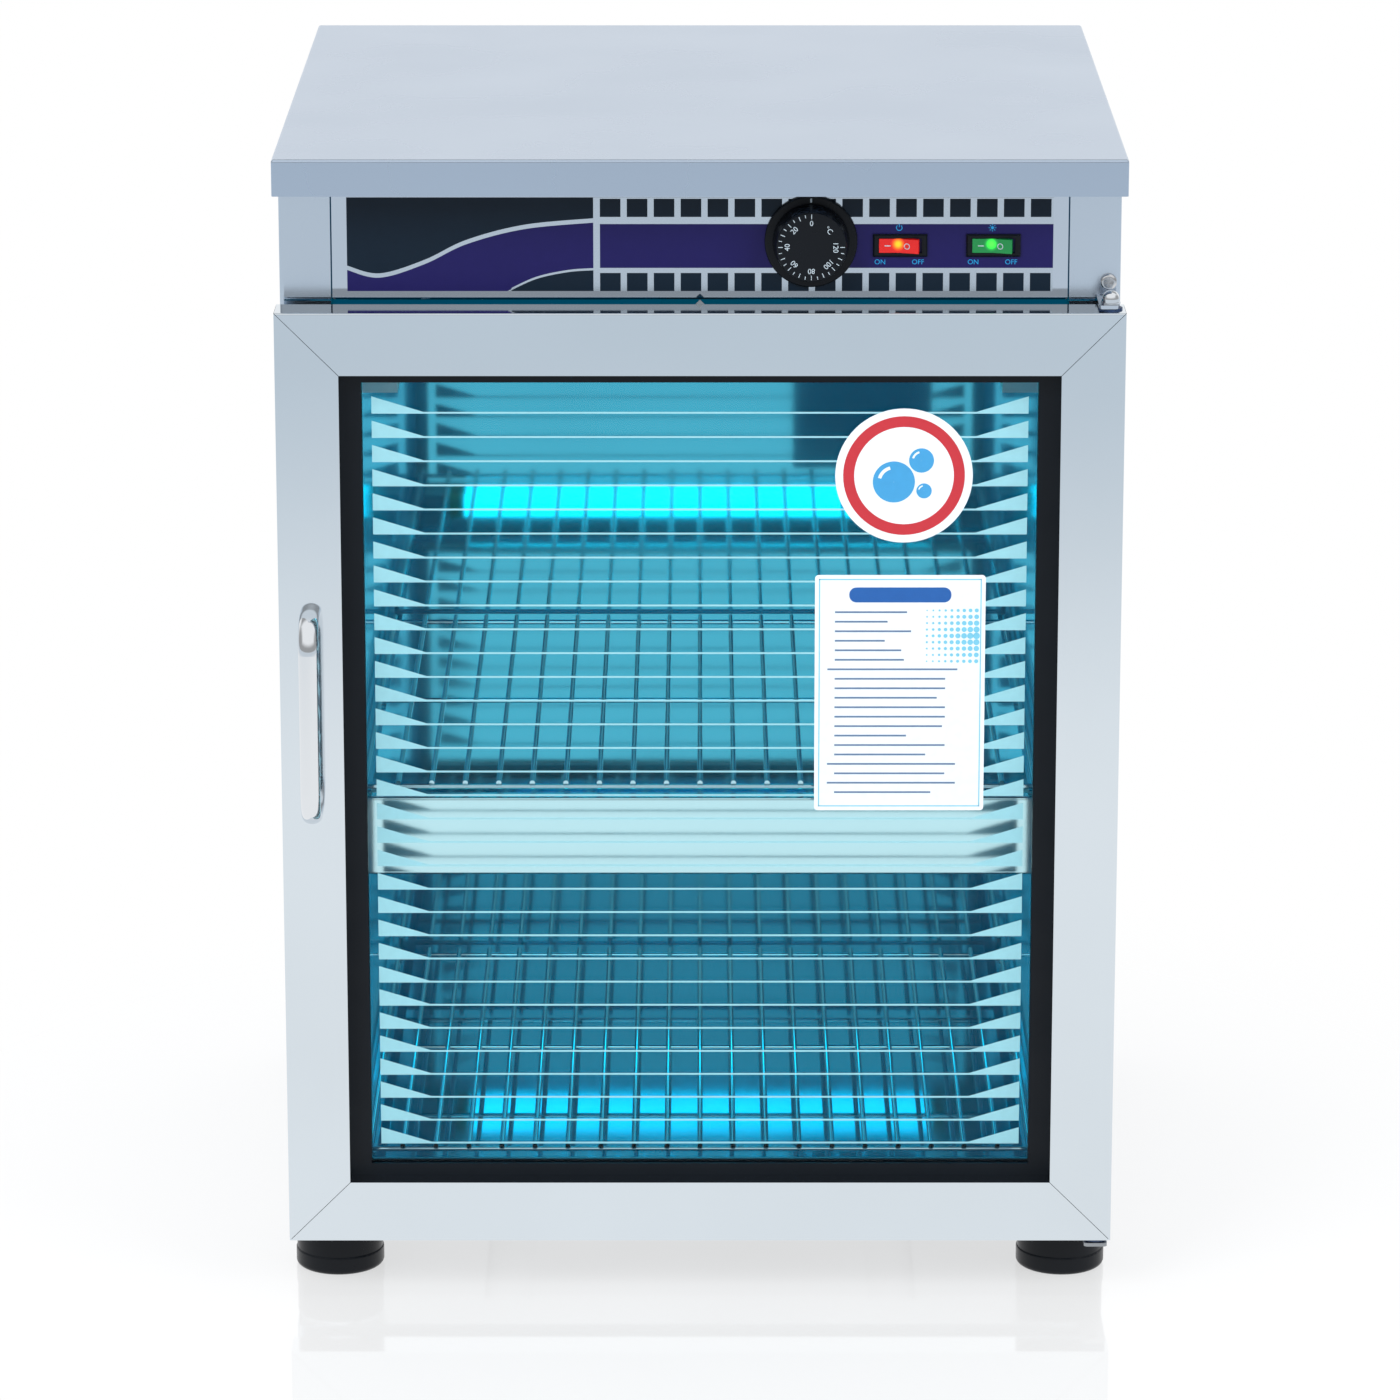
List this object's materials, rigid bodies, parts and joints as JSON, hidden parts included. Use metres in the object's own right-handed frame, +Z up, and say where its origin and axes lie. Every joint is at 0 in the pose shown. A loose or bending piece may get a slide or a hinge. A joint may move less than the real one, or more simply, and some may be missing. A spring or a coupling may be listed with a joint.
{
  "type": "uv sterilizer",
  "caption": "Free-standing stainless cabinet that dries and sterilizes cups with ultraviolet lamps: hinged glass door, wire racks, control panel with dial and rocker switches.",
  "frame": {"origin": "on the floor, under the middle of the whole object's box", "axes": "+Z up, +X to the right as seen from the front, and the door faces -Y"},
  "size_m": [0.46, 0.487, 0.647],
  "materials": {
    "stainless_satin": "satin stainless sheet",
    "stainless_polished": "mirror-polished stainless sheet",
    "galvanised": "plain zinc-coated sheet",
    "frame_aluminium": "satin anodised",
    "bright_chrome": "polished",
    "screw_steel": "bright zinc",
    "tinted_glass": "tinted, polished",
    "lamp_glass": "clear quartz",
    "black_rubber": "matte",
    "black_plastic": "gloss",
    "matte_black_plastic": "matte",
    "white_plastic": "matte",
    "nylon": "matte",
    "film": "printed film, gloss",
    "red_plastic": "translucent, lit",
    "green_plastic": "translucent, lit",
    "brass_parts": "plain",
    "magnet": "matte"
  },
  "bodies": {
    "cabinet": {"top_cover": "stainless_satin", "side_panel_left": "stainless_satin", "side_panel_right": "stainless_satin", "back_panel": "stainless_satin", "base_pan": "galvanised", "case_screws": "screw_steel", "feet": "black_rubber", "foot_fixings": "screw_steel", "hinge_bracket": "stainless_satin", "hinge_plate": "galvanised", "hinge_pins": "bright_chrome", "chamber_wall_left": "stainless_polished", "chamber_wall_right": "stainless_polished", "chamber_back": "stainless_polished", "chamber_floor": "stainless_polished", "chamber_ceiling": "stainless_polished", "mouth_sill": "stainless_polished", "rack_ledges": "stainless_polished", "uv_lamps": "lamp_glass", "lamp_caps": "brass_parts", "lamp_sockets": "white_plastic", "lamp_shield": "stainless_polished", "control_panel": "stainless_satin", "panel_film": "film", "switch_bodies": "black_plastic", "thermostat_ring": "black_plastic", "thermostat_body": "matte_black_plastic", "thermostat_sensor": "brass_parts", "timer_module": "matte_black_plastic", "lamp_ballasts": "white_plastic", "terminal_block": "white_plastic", "heater_duct": "galvanised", "heater_element": "screw_steel", "fan_frame": "matte_black_plastic", "cord_gland": "matte_black_plastic", "door_switch": "matte_black_plastic", "magnet_catch": "magnet"},
    "door": {"door_rail_left": "frame_aluminium", "door_rail_right": "frame_aluminium", "door_rail_top": "frame_aluminium", "door_rail_bottom": "frame_aluminium", "door_corner_keys": "matte_black_plastic", "hinge_bushes": "nylon", "door_glass": "tinted_glass", "glazing_seal": "black_rubber", "glazing_beads": "stainless_satin", "door_gasket": "black_rubber", "door_handle": "bright_chrome", "handle_screws": "screw_steel", "strike_plate": "stainless_satin"},
    "thermostat_dial": {"thermostat_knob": "black_plastic", "thermostat_shaft": "screw_steel"},
    "power_switch": {"power_rocker": "red_plastic"},
    "lamp_switch": {"lamp_rocker": "green_plastic"},
    "upper_shelf": {"upper_rack": "bright_chrome"},
    "lower_shelf": {"lower_rack": "bright_chrome"},
    "fan_rotor": {"fan_impeller": "matte_black_plastic"},
    "interlock_pin": {"door_switch_plunger": "white_plastic"}
  },
  "joints": [
    {"name": "door_hinge", "type": "hinge", "parent": "cabinet", "child": "door", "pos_m": [0.222, -0.2045, 0.0332], "axis": [0, 0, 1], "range_deg": [0, 120]},
    {"name": "thermostat_turn", "type": "hinge", "parent": "cabinet", "child": "thermostat_dial", "pos_m": [0.0602, -0.1828, 0.5963], "axis": [0, 1, 0], "range_deg": [0, 270]},
    {"name": "power_rock", "type": "hinge", "parent": "cabinet", "child": "power_switch", "pos_m": [0.1086, -0.1823, 0.594], "axis": [0, 0, 1], "range_deg": [0, 20]},
    {"name": "lamp_rock", "type": "hinge", "parent": "cabinet", "child": "lamp_switch", "pos_m": [0.1592, -0.1823, 0.594], "axis": [0, 0, 1], "range_deg": [0, 20]},
    {"name": "upper_rack_slide", "type": "slide", "parent": "cabinet", "child": "upper_shelf", "axis": [0, -1, 0], "range_m": [0, 0.015]},
    {"name": "lower_rack_slide", "type": "slide", "parent": "cabinet", "child": "lower_shelf", "axis": [0, -1, 0], "range_m": [0, 0.015]},
    {"name": "fan_spin", "type": "hinge", "parent": "cabinet", "child": "fan_rotor", "pos_m": [0, 0.0724, 0.5555], "axis": [0, 0, 1], "continuous": true},
    {"name": "interlock_slide", "type": "slide", "parent": "cabinet", "child": "interlock_pin", "axis": [0, -1, 0], "range_m": [0, 0.003]}
  ],
  "couplings": [
    {"joint": "interlock_slide", "follows": "door_hinge", "m_per_rad": 0.0014323}
  ]
}
